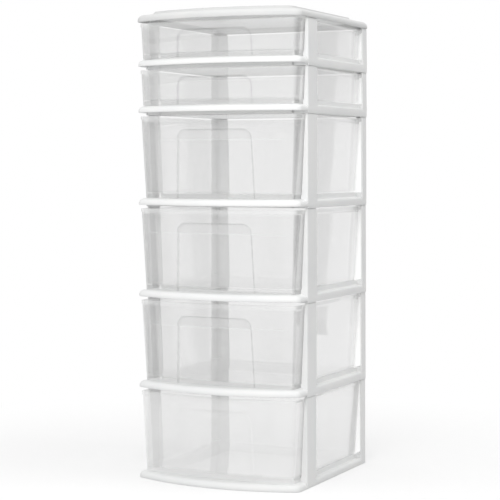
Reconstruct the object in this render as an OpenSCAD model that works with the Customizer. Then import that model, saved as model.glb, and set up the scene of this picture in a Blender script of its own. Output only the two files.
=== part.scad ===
// Stacking drawer tower: six bowed-front drawers in white tier frames under a lid.
// Each tier frame is a shelf ring with four posts, and its posts plug into the shelf above.
// Millimetres. The origin is on the floor below the middle of the tower. The front faces -Y.

/* [Tower] */
// Width across the tier frames
tower_w = 330; // [300:1:380]
// Depth of the frames behind the face of the front posts
body_d = 288; // [250:1:330]
// How far the middle of the bowed lip stands in front of the front posts
lip_reach = 70; // [60:1:80]
// How much the lip bows out between its ends and its middle
lip_bow = 36; // [20:1:42]
// Height from seam to seam of a tier with a large drawer
large_pitch = 169.5; // [130:0.5:200]
// Height from seam to seam of a tier with a small drawer
small_pitch = 84.7; // [72:0.1:120]

/* [Shelf rings] */
// Wall of the frames and the lid
frame_wall = 3; // [2:0.1:3.4]
// Height of the collar that stands on the posts below
collar_h = 3.5; // [2:0.1:6]
// Height of the bowed lip
lip_h = 12.2; // [11:0.1:15]
// Depth of the rounded nose of the lip
nose_d = 11; // [7:0.5:12]
// Height of the nose's widest line above the lip's underside
nose_low = 2.6; // [1:0.1:4]
// Thickness of the ribs inside the nose
rib_t = 1.6; // [1:0.1:2]
// Radius of the lip's ends, seen from above
lip_end_r = 14; // [13.5:0.5:22]
// Radius of the back corners, seen from above
back_r = 10; // [3:0.5:11]
// Depth of the lip's deck behind the face of the front posts
deck_back = 14; // [8:0.5:24]
// Width of a side rail, out to the frame's face
rail_w = 31; // [26:0.5:36]
// Radius of a side rail's outer shoulder
shoulder_r = 5.5; // [3:0.5:8]
// Width of the runner that carries a drawer
runner_w = 4; // [3:0.5:6]
// Height of the runner above the rail
runner_h = 8.3; // [5:0.1:11]
// Thickness of the rib that guides a drawer's side
guide_t = 1.6; // [1.2:0.1:2]
// Height of the guide rib above the rail
guide_h = 3.6; // [2:0.1:6]
// Depth of the back bar
back_bar_d = 12; // [9:0.5:15]
// Height of the back bar's edge above the rail
back_edge_h = 5; // [3:0.5:12]

/* [Posts] */
// Depth of the front posts' sides
front_post_d = 41.5; // [34:0.5:60]
// Depth of the back posts' sides
back_post_d = 28; // [24:0.5:45]
// Width of the back posts' inner leg at the foot
back_leg_w = 30; // [24:0.5:45]
// How much the back posts' inner leg narrows towards the top
back_leg_draft = 4; // [0:0.5:8]
// How much a post's outer face leans in at its top
post_draft = 1; // [0:0.1:1.5]
// Width of the front posts' face at the top
post_face_top = 6; // [5.5:0.1:9]
// Outer corner radius of the front posts
post_r = 2.5; // [1:0.1:2.9]
// Radius of the fillets at the foot of the side openings
window_r = 7; // [3:0.5:12]
// Height of the plug on a post
plug_h = 6.5; // [4:0.5:7]
// Thickness of the plug
plug_t = 2.2; // [1.6:0.1:2.4]
// Clearance round the plug in its socket
plug_gap = 0.3; // [0.2:0.05:0.5]
// Wall round a socket
socket_wall = 1.5; // [1.2:0.1:2]

/* [Drawers] */
// Wall and floor of the drawers
drawer_wall = 2; // [1.4:0.1:2.6]
// Draft of the drawer walls, in degrees
draft = 2.5; // [1:0.1:3]
// Clearance between a drawer and the posts and guides beside it
side_gap = 0.8; // [0.5:0.1:2]
// Clearance between a drawer and what it slides on
slide_gap = 0.3; // [0.2:0.05:0.6]
// Clearance between a drawer's rim and the seam above
top_gap = 3; // [2:0.5:6]
// How far a drawer's front stands back from the lip's edge, in the middle at the rim
front_back = 18; // [15:0.5:26]
// How much a drawer's front bows between its ends and its middle
front_bow = 16; // [8:0.5:20]
// Room between a drawer's back and the back posts' inner legs
back_room = 6; // [4:0.5:20]
// Radius of a drawer's front corners
front_r = 9; // [6:0.5:16]
// Radius of a drawer's back corners
rear_r = 14; // [8:0.5:24]
// Height of the rim round a drawer
rim_h = 7; // [4:0.5:10]
// How far the rim stands out from the wall
rim_out = 1; // [0.6:0.1:1.6]
// Height of a large drawer's upper front band below its top
large_band_h = 44; // [34:0.5:60]
// Height of a small drawer's upper front band below its top
small_band_h = 23; // [20:0.5:30]
// Depth of the step below the upper front band
band_step = 0.9; // [0.4:0.1:1.2]
// Width of the grip arch at its top
arch_w = 146; // [100:1:200]
// How much the arch widens on each side towards its foot on a large drawer
arch_flare = 5; // [0:0.5:10]
// Drop of a large drawer's arch below its top
large_arch_drop = 26; // [14:0.5:32]
// Drop of a small drawer's arch below its top
small_arch_drop = 15.5; // [10:0.5:18]
// Radius of the arch's upper corners
arch_r = 16; // [8:0.5:22]
// Depth of the grip arch
arch_d = 2.6; // [1:0.1:4]

/* [Lid] */
// How far the lid stands out past the frames
lid_over = 1; // [0:0.1:3]
// Height of the lid's rim
lid_rim_h = 13; // [12.5:0.5:18]
// Radius of the lid's back corners, seen from above
lid_back_r = 13.5; // [13.5:0.5:20]
// Height of the raised deck above the rim
lid_deck_h = 6.5; // [3:0.5:10]
// Distance from the lid's edge to the foot of the raised deck
lid_deck_in = 20; // [14:0.5:40]
// Width of the slope round the raised deck
lid_slope = 5; // [2:0.5:10]
// Height of the upright edge above that slope
lid_edge_h = 1.5; // [1:0.1:2]
// Ledge between the slope and the upright edge
lid_edge_in = 1; // [0.5:0.1:2]
// Radius of the raised deck's corners at its foot
lid_deck_r = 22; // [12:0.5:40]

/* [Hidden] */

// Tiers are counted from the top, so tiers 1 and 2 are small
tiers = 6;
small_tiers = 2;
half_w = tower_w / 2;
front_y = -(body_d + lip_reach) / 2;
post_y = front_y + lip_reach;
back_y = post_y + body_d;
lip_r = (half_w * half_w + lip_bow * lip_bow) / (2 * lip_bow);
rail_z = collar_h + lip_h;
runner_z = rail_z + runner_h;
rail_in = half_w - rail_w;
front_post_back = post_y + front_post_d;
back_post_front = back_y - back_post_d;
leg_in = half_w - back_leg_w;

// Outer half width of a drawer's wall below its rim, at its top
wall_top = half_w - post_face_top - side_gap - rim_out;
drawer_front = front_y + front_back;
drawer_back = back_y - frame_wall - back_room;
drawer_low = rail_z + slide_gap;
floor_low = runner_z + slide_gap;
floor_top = floor_low + drawer_wall;
front_curve_r = (wall_top * wall_top + front_bow * front_bow) / (2 * front_bow);

plug_out = half_w - frame_wall - plug_gap;
plug_in = plug_out - plug_t;
front_plug = [post_y + frame_wall + socket_wall, front_post_back - frame_wall - socket_wall];
// The back plug stops where the lid's round corner starts
back_plug = [back_post_front + socket_wall + plug_gap, back_y - lid_back_r];

curve_fn = 180;
corner_fn = 48;
nose_steps = 6;
bow_steps = 24;
corner_steps = 5;
least_r = 0.5;
thin = 0.1;
overlap = 1;
// How far a socket's block runs into the wall beside it
bite = 0.5;
// Gap between two runs of the nose, and how far the rib in it stands inside the nose's face
hairline = 0.04;
rib_in = 0.1;
// Flat part of the nose's section that runs into the deck, and where the deck starts in it
nose_flat = 2;
deck_in = nose_d + nose_flat / 2;
// The lid's plate is rounder than the nose at the corners, so its arcs end elsewhere
deck_ease = 0.5;

function small(tier) = tier <= small_tiers;
function pitch(tier) = small(tier) ? small_pitch : large_pitch;
// Height of the plane on which a tier's shelf ring stands
function seam_z(tier) = tier == tiers ? -collar_h : seam_z(tier + 1) + pitch(tier + 1);
function foot_z(tier) = tier == tiers ? collar_h : 0;
function drawer_top(tier) = pitch(tier) - top_gap;
function lean(tier, z) = (drawer_top(tier) - z) * tan(draft);
function wall_x(tier, z) = wall_top - lean(tier, z);
function face_x(tier, z) = wall_x(tier, z) + rim_out + side_gap;
function band_z(tier) = drawer_top(tier) - (small(tier) ? small_band_h : large_band_h);
function arch_z(tier) = drawer_top(tier) - (small(tier) ? small_arch_drop : large_arch_drop);

// Centre of the end radius that runs into a bow and into a straight side
function end_y(w, front, bow, r) = front + bow - sqrt(pow(bow - r, 2) - pow(w - r, 2));
// Angle from the middle of the bow to that end
function end_angle(w, bow, r) = asin((w - r) / (bow - r));

// Plan with a bowed front: half width, middle of the front, radius of the bow, back,
// radius of the end corners beside the bow and of the back corners
module bowed_plan(w, front, bow, back, end_r, corner_r) {
    corner_y = end_y(w, front, bow, end_r);
    // The wedge between the bow's centre line and the end corners, carried past the bow
    past_x = (w - end_r) * (1 + overlap / bow);
    past_y = corner_y + (corner_y - front - bow) * overlap / bow - bow;
    intersection() {
        translate([0, front + bow]) circle(bow, $fn = curve_fn);
        polygon([[w - end_r, corner_y], [end_r - w, corner_y], [-past_x, past_y], [past_x, past_y]]);
    }
    for (side = [-1, 1]) {
        translate([side * (w - end_r), corner_y]) circle(end_r, $fn = corner_fn);
        translate([side * (w - corner_r), back - corner_r]) circle(corner_r, $fn = corner_fn);
    }
    translate([-w, corner_y]) square([2 * w, back - corner_r - corner_y]);
    translate([corner_r - w, corner_y]) square([2 * (w - corner_r), back - corner_y]);
}

// Curve of the lip's nose, drawn in by an inset. X = 0 is the outer edge and Y is the height.
function nose_curve(low, top, inset) =
    let (wide = low + nose_low)
    [for (k = [0:nose_steps])
        [(nose_d - inset) * sin(90 * k / nose_steps) - nose_d,
         wide + (top - wide - inset) * cos(90 * k / nose_steps)]];

// Section of the nose: a wall with a flat part behind it
module nose_section(low, top) {
    inner = nose_curve(low, top, frame_wall);
    polygon(concat([[-nose_d - nose_flat, top]], nose_curve(low, top, 0), [[0, low], [-frame_wall, low]],
        [for (k = [nose_steps:-1:0]) inner[k]], [[-nose_d - nose_flat, top - frame_wall]]));
}

// Rib across the inside of the nose, a little inside its outer face
module nose_rib(low, top) {
    back = -nose_d - nose_flat / 4;
    rotate([90, 0, 0]) linear_extrude(rib_t, center = true)
        polygon(concat([[back, top - rib_in]], nose_curve(low, top, rib_in),
            [[-rib_in, low + rib_in], [back, low + rib_in]]));
}

// The nose swept along the bow, round both ends and back to the posts. Each rounded end stands
// between two ribs, and hairline gaps over the ribs part it from the bow and from the side.
module nose(low, top, w, front, bow, r, back) {
    half = end_angle(w, bow, r);
    corner_y = end_y(w, front, bow, r);
    sweep = half - asin(hairline / bow);
    translate([0, front + bow]) rotate(-90 - sweep)
        rotate_extrude(angle = 2 * sweep, $fn = curve_fn) translate([bow, 0]) nose_section(low, top);
    on_both_sides() {
        translate([w - r, corner_y]) rotate(half - 90)
            rotate_extrude(angle = 90 - half, $fn = corner_fn) translate([r, 0]) nose_section(low, top);
        translate([w, back, 0]) rotate([90, 0, 0])
            linear_extrude(back - corner_y - hairline) nose_section(low, top);
        translate([0, front + bow, 0]) rotate(half - 90) translate([bow, 0, 0]) nose_rib(low, top);
        translate([w, corner_y, 0]) nose_rib(low, top);
    }
}

// The nose round the back corners and along the back
module back_nose(low, top, w, back, r) {
    on_both_sides() translate([w - r, back - r])
        rotate_extrude(angle = 90, $fn = corner_fn) translate([r, 0]) nose_section(low, top);
    translate([r - w, back, 0]) rotate([90, 0, 90]) linear_extrude(2 * (w - r)) nose_section(low, top);
}

module on_both_sides() {
    children();
    mirror([1, 0, 0]) children();
}

// Extrudes a section of X and height along Y
module along_y(from, to) {
    translate([0, to, 0]) rotate([90, 0, 0]) linear_extrude(to - from) children();
}

// Section of a side rail: face and shoulder, guide rib, runner and the open channel under them
module rail_section(tier) {
    foot = foot_z(tier);
    guide_x = face_x(tier, rail_z) - rim_out;
    roof = rail_z - frame_wall;
    polygon(concat(
        [[half_w, foot]],
        [for (a = [0:15:90])
            [half_w - shoulder_r * (1 - cos(a)), rail_z - shoulder_r * (1 - sin(a))]],
        [[guide_x + guide_t, rail_z], [guide_x + guide_t, rail_z + guide_h],
         [guide_x, rail_z + guide_h], [guide_x, rail_z],
         [rail_in + runner_w, rail_z], [rail_in + runner_w, runner_z], [rail_in, runner_z],
         [rail_in, foot], [rail_in + frame_wall, foot], [rail_in + frame_wall, roof],
         [half_w - frame_wall, roof], [half_w - frame_wall, foot]]));
}

// Ring that carries a drawer, with its bowed lip
module shelf_ring(tier) {
    foot = foot_z(tier);
    roof = rail_z - frame_wall;
    nose(collar_h, rail_z, half_w, front_y, lip_r, lip_end_r, post_y + overlap);
    // Deck behind the nose
    translate([0, 0, roof]) linear_extrude(frame_wall) difference() {
        bowed_plan(half_w - deck_in, front_y + deck_in, lip_r - deck_in, back_y - back_bar_d,
                   lip_end_r - deck_in, overlap);
        translate([-rail_in, post_y + deck_back]) square([2 * rail_in, body_d]);
    }
    // Webs under the deck, at the post face and at the deck's back edge
    translate([-half_w + frame_wall / 2, post_y, foot])
        cube([tower_w - frame_wall, frame_wall, roof + overlap - foot]);
    translate([-rail_in - overlap, post_y + deck_back - frame_wall, foot])
        cube([2 * (rail_in + overlap), frame_wall, roof + overlap - foot]);
    on_both_sides() intersection() {
        along_y(post_y, back_y) rail_section(tier);
        linear_extrude(runner_z + overlap) back_rounding();
    }
    back_bar(tier);
}

// Plan of the frame from the posts back with its rounded back corners, drawn in by an inset
module back_rounding(inset = 0) {
    w = half_w - inset;
    back = back_y - inset;
    r = max(back_r - inset, least_r);
    translate([-w, post_y]) square([2 * w, back - r - post_y]);
    translate([r - w, post_y]) square([2 * (w - r), back - post_y]);
    for (side = [-1, 1]) translate([side * (w - r), back - r]) circle(r, $fn = corner_fn);
}

// Bar across the back of a ring, between the side rails
module back_bar(tier) {
    foot = foot_z(tier);
    roof = rail_z - frame_wall;
    edge = rail_z + back_edge_h;
    inner = back_y - frame_wall;
    front = back_y - back_bar_d;
    intersection() {
        translate([-half_w, 0, 0]) rotate([90, 0, 90]) linear_extrude(tower_w)
            polygon([[back_y, foot], [back_y, edge], [inner, edge], [inner, rail_z],
                     [front, rail_z], [front, foot], [front + frame_wall, foot],
                     [front + frame_wall, roof], [inner, roof], [inner, foot]]);
        linear_extrude(edge + overlap) back_rounding();
    }
}

// Plan of the right front post: face, side and inner flange, open towards the drawer
module front_post_plan() {
    difference() {
        union() {
            translate([0, post_y + post_r]) square([half_w, front_post_d - post_r]);
            translate([0, post_y]) square([half_w - post_r, post_r]);
            translate([half_w - post_r, post_y + post_r]) circle(post_r, $fn = corner_fn);
        }
        translate([-overlap, post_y + frame_wall])
            square([half_w - frame_wall + overlap, front_post_d - 2 * frame_wall]);
    }
}

// Plan of the right back post: side and inner leg
module back_post_plan() {
    difference() {
        intersection() {
            back_rounding();
            translate([0, back_post_front]) square([half_w, back_post_d]);
        }
        intersection() {
            back_rounding(frame_wall);
            translate([-overlap, back_post_front - overlap]) square([half_w, back_post_d]);
        }
    }
}

// Both right posts of a tier, from the ring's foot to the seam above
module right_posts(tier) {
    foot = foot_z(tier);
    top = pitch(tier);
    intersection() {
        translate([0, 0, foot]) linear_extrude(top - foot) front_post_plan();
        along_y(post_y - overlap, front_post_back + overlap)
            polygon([[face_x(tier, foot), foot], [half_w, foot],
                     [half_w, rail_z], [half_w - post_draft, top], [face_x(tier, top), top]]);
    }
    intersection() {
        translate([0, 0, foot]) linear_extrude(top - foot) back_post_plan();
        along_y(back_post_front - overlap, back_y + overlap)
            polygon([[leg_in, foot], [half_w, foot], [half_w, rail_z],
                     [half_w - post_draft, top], [leg_in + back_leg_draft, top]]);
    }
    post_head(tier, post_y, front_post_back, front_plug);
    post_head(tier, back_post_front, back_y, back_plug);
    window_fillets(tier);
}

// End plate of a post, with the plug that enters the shelf above
module post_head(tier, from, to, plug) {
    top = pitch(tier);
    plate_x = face_x(tier, top);
    intersection() {
        translate([plate_x, from, top - frame_wall]) cube([half_w - plate_x, to - from, frame_wall]);
        linear_extrude(top) back_rounding(post_draft + frame_wall / 2);
    }
    translate([plug_in, plug[0], top - overlap]) cube([plug_t, plug[1] - plug[0], plug_h + overlap]);
}

// Fillets between a side rail and its posts, in the plane of the tower's side
module window_fillets(tier) {
    translate([half_w - frame_wall, 0, rail_z - shoulder_r / 2]) {
        corner_fillet(front_post_back, 1);
        corner_fillet(back_post_front, -1);
    }
}

module corner_fillet(y, way) {
    translate([0, y, 0]) rotate([90, 0, 90]) linear_extrude(frame_wall / 2) difference() {
        translate([way > 0 ? -overlap : -window_r, -overlap]) square(window_r + overlap);
        translate([way * window_r, window_r]) circle(window_r, $fn = corner_fn);
    }
}

// Sockets that take the plugs of the posts below, against the inside of a wall with its face at w
module sockets(w) {
    rim = plug_gap + socket_wall;
    for (plug = [front_plug, back_plug])
        difference() {
            translate([plug_in - rim, plug[0] - rim, 0])
                cube([w - frame_wall + bite - plug_in + rim, plug[1] - plug[0] + 2 * rim, plug_h + rim]);
            translate([plug_in - plug_gap, plug[0] - plug_gap, -overlap])
                cube([plug_t + 2 * plug_gap, plug[1] - plug[0] + 2 * plug_gap, plug_h + plug_gap + overlap]);
        }
}

module tier_frame(tier) {
    color("white") translate([0, 0, seam_z(tier)]) {
        shelf_ring(tier);
        on_both_sides() {
            right_posts(tier);
            if (tier < tiers) sockets(half_w);
        }
    }
}

// Points of a drawer's outline at a height: inset is measured in from the wall
function drawer_outline(tier, z, inset) =
    let (w = wall_x(tier, z) - inset,
         front = drawer_front + lean(tier, z) + inset,
         back = drawer_back - lean(tier, z) - inset,
         bow = front_curve_r - lean(tier, z) - inset,
         fr = max(front_r - inset, least_r),
         rr = max(rear_r - inset, least_r),
         corner_y = end_y(w, front, bow, fr),
         half = end_angle(w, bow, fr))
    concat(
        [for (k = [0:bow_steps]) let (a = -half + 2 * half * k / bow_steps)
            [bow * sin(a), front + bow - bow * cos(a)]],
        [for (k = [1:corner_steps]) let (a = half + (90 - half) * k / corner_steps)
            [w - fr + fr * sin(a), corner_y - fr * cos(a)]],
        [for (k = [0:corner_steps]) let (a = 90 * k / corner_steps)
            [w - rr + rr * cos(a), back - rr + rr * sin(a)]],
        [for (k = [0:corner_steps]) let (a = 90 + 90 * k / corner_steps)
            [rr - w + rr * cos(a), back - rr + rr * sin(a)]],
        [for (k = [0:corner_steps - 1]) let (a = 90 - (90 - half) * k / corner_steps)
            [fr - w - fr * sin(a), corner_y - fr * cos(a)]]);

// Solid between outlines of equal length at rising heights
module loft(rings, heights) {
    n = len(rings[0]);
    levels = len(rings);
    polyhedron(
        points = [for (k = [0:levels - 1]) for (p = rings[k]) [p[0], p[1], heights[k]]],
        faces = concat(
            [[for (i = [0:n - 1]) i]],
            [for (k = [0:levels - 2]) for (i = [0:n - 1])
                [k * n + i, (k + 1) * n + i, (k + 1) * n + (i + 1) % n, k * n + (i + 1) % n]],
            [[for (i = [n - 1:-1:0]) (levels - 1) * n + i]]));
}

// Drafted block with the drawer's outline between two heights
module drawer_block(tier, inset, low, top) {
    loft([for (z = [low, top]) drawer_outline(tier, z, inset)], [low, top]);
}

// Outline of the lower front panel, as X and height
module panel_shape(tier, grow) {
    side = wall_x(tier, drawer_low) - front_r;
    translate([-side - grow, drawer_low - 2 * overlap])
        square([2 * (side + grow), band_z(tier) + grow - drawer_low + 2 * overlap]);
}

// Outline of the grip arch, as X and height
module arch_shape(tier, grow) {
    top = arch_z(tier) + grow;
    low = drawer_low - 2 * overlap;
    r = arch_r + grow;
    flare = arch_flare * (top - low) / (large_pitch - top_gap - large_arch_drop - drawer_low);
    half = arch_w / 2 + grow;
    polygon(concat(
        [[half + flare, low], [half, top - r]],
        [for (a = [15:15:90]) [half - r + r * cos(a), top - r + r * sin(a)]],
        [for (a = [90:15:165]) [r - half + r * cos(a), top - r + r * sin(a)]],
        [[-half, top - r], [-half - flare, low]]));
}

// A drawer's block whose front is set back inside the band step and the arch
module relieved_block(tier, inset, low, top, grow) {
    difference() {
        drawer_block(tier, inset, low, top);
        difference() {
            along_y(drawer_front - overlap, drawer_front + front_bow + front_r) panel_shape(tier, grow);
            translate([0, band_step, 0]) drawer_block(tier, inset, low - 3 * overlap, top);
        }
        difference() {
            along_y(drawer_front - overlap, drawer_front + front_bow + front_r) arch_shape(tier, grow);
            translate([0, band_step + arch_d, 0]) drawer_block(tier, inset, low - 3 * overlap, top);
        }
    }
}

module drawer(tier) {
    top = drawer_top(tier);
    color("aliceblue", 0.4) translate([0, 0, seam_z(tier)]) difference() {
        union() {
            relieved_block(tier, 0, drawer_low, top, 0);
            drawer_block(tier, -rim_out, top - rim_h, top);
        }
        // Inside, above the floor
        relieved_block(tier, drawer_wall, floor_top, top + overlap, drawer_wall);
        // Space under the floor, open at the back where the runners pass
        relieved_block(tier, drawer_wall, drawer_low - overlap, floor_low, drawer_wall);
        translate([-half_w, drawer_back - lean(tier, drawer_low) - rear_r, drawer_low - overlap])
            cube([tower_w, body_d, floor_low - drawer_low + overlap]);
    }
}

// Plan of the lid's raised deck, drawn in from its foot
module deck_plan(inset) {
    w = half_w + lid_over - lid_deck_in;
    bowed_plan(w - inset, front_y - lid_over + lid_deck_in + inset, lip_r + lid_over - lid_deck_in - inset,
        back_y + lid_over - lid_deck_in - inset, lid_deck_r - inset, lid_deck_r - inset);
}

// Raised deck: a slope with an upright edge above it
module deck_form(inset, h) {
    slope_h = h - lid_edge_h;
    hull() {
        linear_extrude(thin) deck_plan(inset);
        translate([0, 0, slope_h - thin]) linear_extrude(thin) deck_plan(inset + lid_slope);
    }
    translate([0, 0, slope_h - thin / 2]) linear_extrude(lid_edge_h + thin / 2)
        deck_plan(inset + lid_slope + lid_edge_in);
}

module lid() {
    w = half_w + lid_over;
    front = front_y - lid_over;
    bow = lip_r + lid_over;
    back = back_y + lid_over;
    end_r = lip_end_r + lid_over;
    rim = lid_rim_h;
    color("white") translate([0, 0, seam_z(1) + pitch(1)]) {
        nose(0, rim, w, front, bow, end_r, back - lid_back_r);
        back_nose(0, rim, w, back, lid_back_r);
        difference() {
            union() {
                translate([0, 0, rim - frame_wall]) linear_extrude(frame_wall)
                    bowed_plan(w - deck_in, front + deck_in, bow - deck_in, back - deck_in,
                               end_r - deck_in + deck_ease, lid_back_r - deck_in);
                translate([0, 0, rim - overlap]) deck_form(0, lid_deck_h + overlap);
            }
            translate([0, 0, rim - frame_wall - overlap]) deck_form(frame_wall, lid_deck_h + overlap);
        }
        on_both_sides() sockets(w);
    }
}

lid();
tier_frame(1);  // frame_1
tier_frame(2);  // frame_2
tier_frame(3);  // frame_3
tier_frame(4);  // frame_4
tier_frame(5);  // frame_5
tier_frame(6);  // frame_6
drawer(1);  // drawer_1
drawer(2);  // drawer_2
drawer(3);  // drawer_3
drawer(4);  // drawer_4
drawer(5);  // drawer_5
drawer(6);  // drawer_6
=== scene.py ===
"""Drawer tower: six white shelf frames that stack, six clear drawers and a white lid.
The tower's lengths are in millimetres up to the call that draws them, and the stage is in metres.
X is across, -Y is the front, Z is up. Each piece is modelled above the seam that it stands on."""

import math

import bmesh
import bpy
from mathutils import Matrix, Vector


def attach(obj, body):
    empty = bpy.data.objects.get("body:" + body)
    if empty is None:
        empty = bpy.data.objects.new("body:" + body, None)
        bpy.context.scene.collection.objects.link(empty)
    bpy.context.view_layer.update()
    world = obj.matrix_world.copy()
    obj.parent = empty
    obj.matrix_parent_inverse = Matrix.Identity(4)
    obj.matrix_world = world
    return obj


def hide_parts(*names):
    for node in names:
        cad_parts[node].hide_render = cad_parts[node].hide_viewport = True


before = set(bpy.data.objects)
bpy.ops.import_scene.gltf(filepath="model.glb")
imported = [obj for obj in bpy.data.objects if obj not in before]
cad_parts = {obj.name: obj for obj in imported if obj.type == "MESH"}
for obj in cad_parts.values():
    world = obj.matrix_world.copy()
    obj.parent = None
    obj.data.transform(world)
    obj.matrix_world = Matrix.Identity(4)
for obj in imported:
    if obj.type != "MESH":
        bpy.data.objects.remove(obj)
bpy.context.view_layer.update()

MM = 0.001

# Plan of the frames: half the width, the front of the bow, the front face of the front posts and the back
HALF_W = 165.0
FRONT_Y = -179.0
POST_Y = -109.0
BACK_Y = 179.0
BACK_R = 10.0
# Bow of the lip and the round ends that lead from it to the sides
LIP_R = 396.125
LIP_END_R = 14.0

# Heights above a seam: underside of the lip, top of the shelf ring, top of the runners
COLLAR_H = 3.5
RAIL_Z = 15.7
RUNNER_Z = 24.0
# Thickness of the frames and the lid
WALL = 3.0

# Nose of the lip: depth of its curve, upright edge below the curve, flat behind it
NOSE_D = 11.0
NOSE_LOW = 2.6
NOSE_FLAT = 2.0
NOSE_IN = NOSE_D + NOSE_FLAT / 2
NOSE_BOW_FACES = 56
NOSE_ROUND_FACES = 9

# Side rails, with the runner at the inner side and the guide rib beside the drawer
RAIL_IN = 134.0
RUNNER_W = 4.0
SHOULDER_R = 9.5
GUIDE_T = 1.6
GUIDE_H = 8.0
WINDOW_R = 7.0

# Deck behind the lip, its webs, and the bar across the back with its upright edge
DECK_BACK = POST_Y + 14.0
DECK_BOW_STEPS = 48
WEB_IN = 1.5
BACK_BAR_D = 12.0
BACK_EDGE_Z = RAIL_Z + 5.0

# Posts, which lean in by POST_DRAFT, and the inner legs of the back ones, which narrow by LEG_DRAFT.
# What is nearer the drawer than the splits slopes away from it
FRONT_POST_BACK = -67.5
BACK_POST_FRONT = 151.0
POST_R = 2.5
POST_DRAFT = 1.0
POST_SPLIT = HALF_W - WALL - 1.6
LEG_IN = 135.0
LEG_DRAFT = 4.0
LEG_SPLIT = 148.0
# Groove at the head of a post, which draws the seam
SEAM_GAP = 1.8
SEAM_IN = 1.3

# Plugs on the posts, and the sockets that take them
PLUG_H = 6.5
PLUG_OUT = 161.7
PLUG_IN = 159.5
FRONT_PLUG = (POST_Y + 4.5, FRONT_POST_BACK - 4.5)
BACK_PLUG = (BACK_POST_FRONT + 1.8, BACK_Y - 13.5)
SOCKET_WALL = 1.5
SOCKET_ROOM = 1.8

# Shells of one moulding run into each other by this much, so that no two faces share a plane
TUCK = 0.03
# A block that trims a piece stands this much past it
TRIM = 5.0
# Faces and vertices are picked to this much
NEAR = 0.1

# Tiers: height of a small and a large one, and the seam below each, from the top
SMALL_PITCH = 84.7
LARGE_PITCH = 169.5
SEAMS = [759.2, 674.5, 505.0, 335.5, 166.0, -3.5]
LID_SEAM = 843.9
SMALL_TIERS = 2
LOW_TIER = 6

# Drawers: walls with draft, measured at the top
DRAFT = math.tan(math.radians(2.5))
WALL_TOP = 157.2
DRAWER_FRONT = -161.0
DRAWER_BACK = 170.0
DRAWER_LOW = 16.0
DRAWER_WALL = 2.0
FLOOR_LOW = 24.3
FLOOR_TOP = 26.3
TOP_GAP = 3.0
FRONT_CURVE_R = 780.2
FRONT_R = 9.0
REAR_R = 14.0
CORNER_STEPS = 8
RIM_H = 7.0
RIM_OUT = 1.0
# Room between the rim and the posts
RIM_ROOM = 0.8

# Pressed front of a drawer: the band under the rim and the grip arch, both measured down from the top
BAND_STEP = 0.9
ARCH_D = 2.6
ARCH_W = 146.0
ARCH_FLARE = 5.0
ARCH_R = 16.0
SMALL_BAND_H = 23.0
SMALL_ARCH_DROP = 15.5
LARGE_BAND_H = 44.0
LARGE_ARCH_DROP = 26.0
# The arch flares by ARCH_FLARE from its head to the foot of a large drawer
ARCH_SLOPE = ARCH_FLARE / (LARGE_PITCH - TOP_GAP - LARGE_ARCH_DROP - DRAWER_LOW)
# Half the width of the slope and of the line of painted shade that the finish draws round the arch
ARCH_SOFT = 1.6
ARCH_SHADE_LINE = 1.7
# How far to each side the arch's own sides lie, where the columns of faces stand close together
ARCH_SIDE = (54, 86)

# Half the width of the band
BAND_END = WALL_TOP - FRONT_R - 8

# Where the finishes of a drawer change: its front, its front corners, where shade is painted, and its rear
# ones, where light is painted
FRONT_FACES = -125
CORNER_FACES = POST_Y + 4
CORNER_IN = 3.6
REAR_FACES = 122
REAR_IN = REAR_R + 2.5

# Lid
LID_W = 166.0
LID_FRONT = -180.0
LID_BACK = 180.0
LID_BOW = 397.125
LID_END_R = 15.0
LID_BACK_R = 13.5
LID_RIM = 13.0
# Foot of the raised deck: how far it lies in from the rim, and its corners
LID_STEP_IN = 20
LID_STEP_R = 22
# Steps in and up from there to the flat of the deck
LID_STEPS = ((0.6, 0.3), (4.0, 4.0), (0.8, 0.7), (0.6, 0.3), (0.2, 0.9), (0.4, 0.3), (0.8, 0.0))

# Camera, with its angles down and to the side, and the height of the upright cards
CAMERA_PLACE = (1.2944, -2.665, 0.5845)
CAMERA_TILT = 0.055
CAMERA_TURN = 0.453
CAMERA_LENS = 113.0
FLAG_TOP = 2.8


# ---------------------------------------------------------------- drawing with the mesh tools

def put_down():
    """Leaves edit mode with nothing selected"""
    if bpy.context.object and bpy.context.object.mode != "OBJECT":
        bpy.ops.object.mode_set(mode="OBJECT")
    bpy.ops.object.select_all(action="DESELECT")


def take(obj):
    """Selects one object"""
    put_down()
    obj.select_set(True)
    bpy.context.view_layer.objects.active = obj
    return obj


def vec(x, y, z):
    """Millimetres as a vector in metres"""
    return Vector((x * MM, y * MM, z * MM))


def draw(name, points):
    """Draws a closed line of edges through points, one vertex after another, and stays in edit mode"""
    put_down()
    bpy.ops.mesh.primitive_plane_add(size=0.002, enter_editmode=True, location=(0, 0, 0))
    obj = bpy.context.object
    obj.name = obj.data.name = name
    bpy.ops.mesh.select_mode(type="VERT")
    bpy.ops.mesh.select_all(action="SELECT")
    bpy.ops.mesh.merge(type="CENTER")
    places = [vec(*p) for p in points]
    bpy.ops.transform.translate(value=places[0])
    for before, after in zip(places, places[1:]):
        bpy.ops.mesh.extrude_vertices_move(TRANSFORM_OT_translate={"value": after - before})
    bpy.ops.mesh.select_all(action="SELECT")
    bpy.ops.mesh.edge_face_add()
    return obj


def line_only():
    """Drops the face that closes a drawn line and keeps its edges"""
    bpy.ops.mesh.select_all(action="SELECT")
    bpy.ops.mesh.delete(type="ONLY_FACE")
    bpy.ops.mesh.select_all(action="SELECT")


def pull(x, y, z):
    """Extrudes what is selected"""
    bpy.ops.mesh.extrude_region_move(TRANSFORM_OT_translate={"value": vec(x, y, z)})


def turn(steps, angle, x, y):
    """Spins what is selected about an upright axis"""
    bpy.ops.mesh.spin(steps=steps, angle=-angle, center=vec(x, y, 0), axis=(0, 0, 1))


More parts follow.
